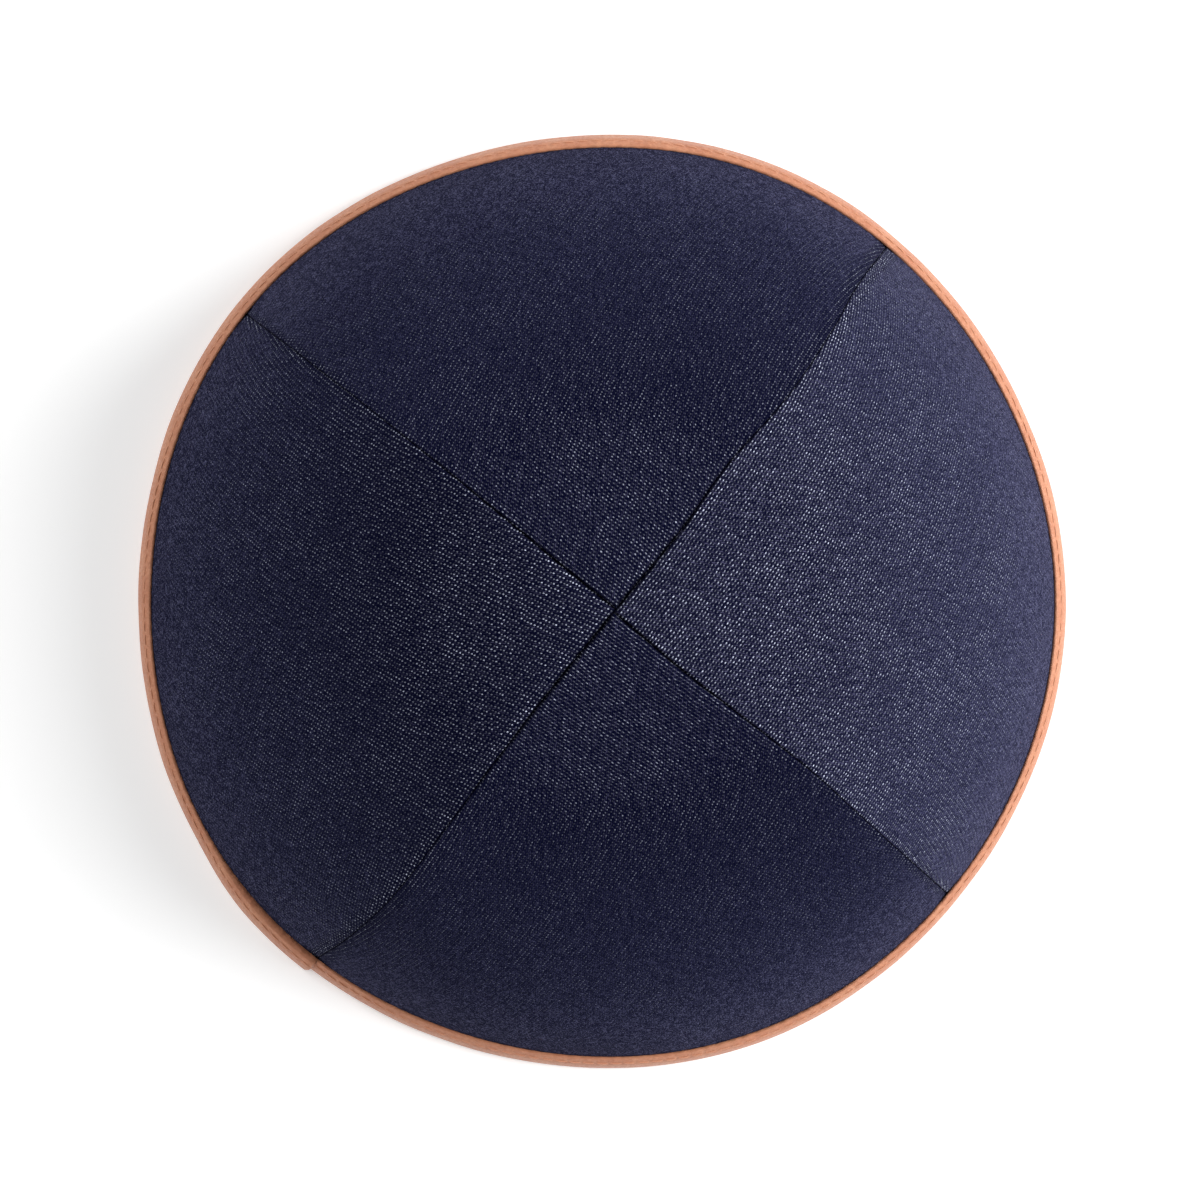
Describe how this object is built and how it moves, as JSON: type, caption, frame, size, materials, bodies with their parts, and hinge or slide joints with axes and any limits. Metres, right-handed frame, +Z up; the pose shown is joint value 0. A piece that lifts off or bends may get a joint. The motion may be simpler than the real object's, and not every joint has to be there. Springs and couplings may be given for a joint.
{
  "type": "kippah skullcap",
  "caption": "Round panelled skullcap of dark denim with a tan leather binding folded over its rim; a hollow dome worn on the crown of the head.",
  "frame": {"origin": "centre of the rim, on the face that the cap rests on", "axes": "+Z up through the apex, +Y towards the north panel, which is the top of the picture, +X towards the east panel"},
  "size_m": [0.1671, 0.1681, 0.064],
  "materials": {
    "denim": "matte dark indigo twill with pale flecks",
    "leather": "smooth tan leather, satin, with a fine grain"
  },
  "bodies": {
    "root": {"panel_east": "denim", "panel_north": "denim", "panel_west": "denim", "panel_south": "denim", "rim_binding": "leather"}
  },
  "joints": []
}
